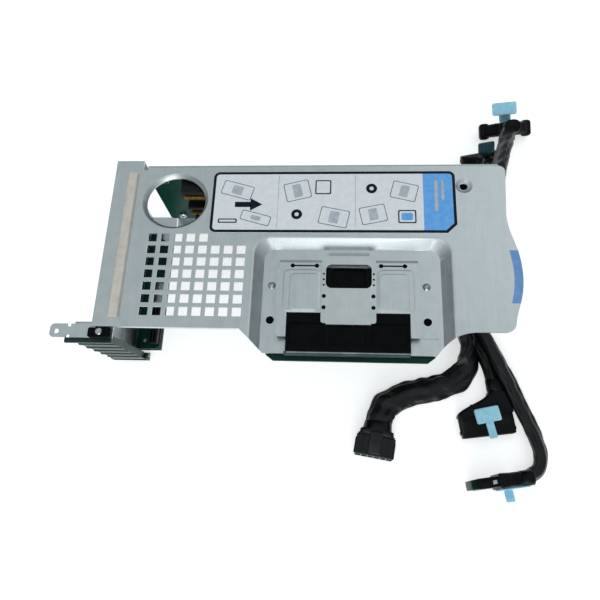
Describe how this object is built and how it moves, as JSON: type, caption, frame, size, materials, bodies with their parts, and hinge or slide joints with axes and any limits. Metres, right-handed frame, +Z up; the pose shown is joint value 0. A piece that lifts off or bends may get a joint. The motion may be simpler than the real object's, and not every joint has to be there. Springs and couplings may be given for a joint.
{
  "type": "server riser",
  "caption": "Sheet-metal expansion-card cage with an upright riser card, a ribbed retention latch, a recessed retainer pocket and sleeved leads that end in plugs.",
  "frame": {"origin": "centre of the cage's footprint on the surface that it stands on, the free leads and their plugs left out", "axes": "+X along the top plate away from the rear frame, +Y from the open card side to the riser card, +Z up"},
  "size_m": [0.3157, 0.2816, 0.0782],
  "materials": {
    "galvanised_steel": "fine matt zinc",
    "filler_steel": "satin",
    "spring_steel": "satin",
    "pin_steel": "smooth",
    "screw_steel": "smooth",
    "gasket_fabric": "woven conductive cloth",
    "label_film": "semi-gloss print",
    "blue_film": "semi-gloss",
    "latch_plastic": "fine grain",
    "black_plastic": "fine grain",
    "grey_plastic": "satin",
    "circuit_board": "solder mask",
    "connector_plastic": "moulded",
    "chip_plastic": "matt",
    "capacitor_can": "smooth",
    "braided_sleeve": "braided",
    "plug_plastic": "moulded",
    "tab_light_blue": "soft",
    "tab_teal": "soft"
  },
  "bodies": {
    "riser": {"adapter_board": "circuit_board", "adapter_spacers": "screw_steel", "bracket_rivets": "pin_steel", "card_capacitors": "capacitor_can", "card_retainer": "black_plastic", "card_screws": "screw_steel", "card_slot_1": "connector_plastic", "card_slot_2": "connector_plastic", "card_slot_3": "connector_plastic", "card_spacers": "screw_steel", "emi_gasket": "gasket_fabric", "latch_base": "latch_plastic", "latch_catch": "black_plastic", "latch_pin": "pin_steel", "latch_screw": "screw_steel", "power_inlet": "connector_plastic", "power_lead": "braided_sleeve", "power_plug": "plug_plastic", "rear_board": "circuit_board", "rear_board_connector": "black_plastic", "rear_board_spacers": "screw_steel", "rear_frame": "galvanised_steel", "retainer_bracket": "galvanised_steel", "retainer_lip": "grey_plastic", "retimer_chips": "chip_plastic", "riser_card": "circuit_board", "service_label": "label_film", "signal_inlet_a": "connector_plastic", "signal_inlet_b": "connector_plastic", "signal_inlet_c": "connector_plastic", "signal_inlet_d": "connector_plastic", "signal_lead_a": "braided_sleeve", "signal_lead_b": "braided_sleeve", "signal_lead_c": "braided_sleeve", "signal_lead_d": "braided_sleeve", "signal_plug_a": "plug_plastic", "signal_plug_b": "plug_plastic", "signal_plug_c": "plug_plastic", "signal_plug_d": "plug_plastic", "signal_tab_a": "tab_light_blue", "signal_tab_b": "tab_light_blue", "signal_tab_c": "tab_teal", "signal_tab_d": "tab_light_blue", "slot_filler_1": "filler_steel", "slot_filler_2": "filler_steel", "slot_filler_3": "filler_steel", "spring_strap": "spring_steel", "top_plate": "galvanised_steel", "touch_patch": "blue_film"},
    "latch": {"retention_latch": "latch_plastic"}
  },
  "joints": [
    {"name": "latch_hinge", "type": "hinge", "parent": "riser", "child": "latch", "pos_m": [-0.11375, -0.0476, 0.004], "axis": [1, 0, 0], "range_deg": [0, 80]}
  ]
}
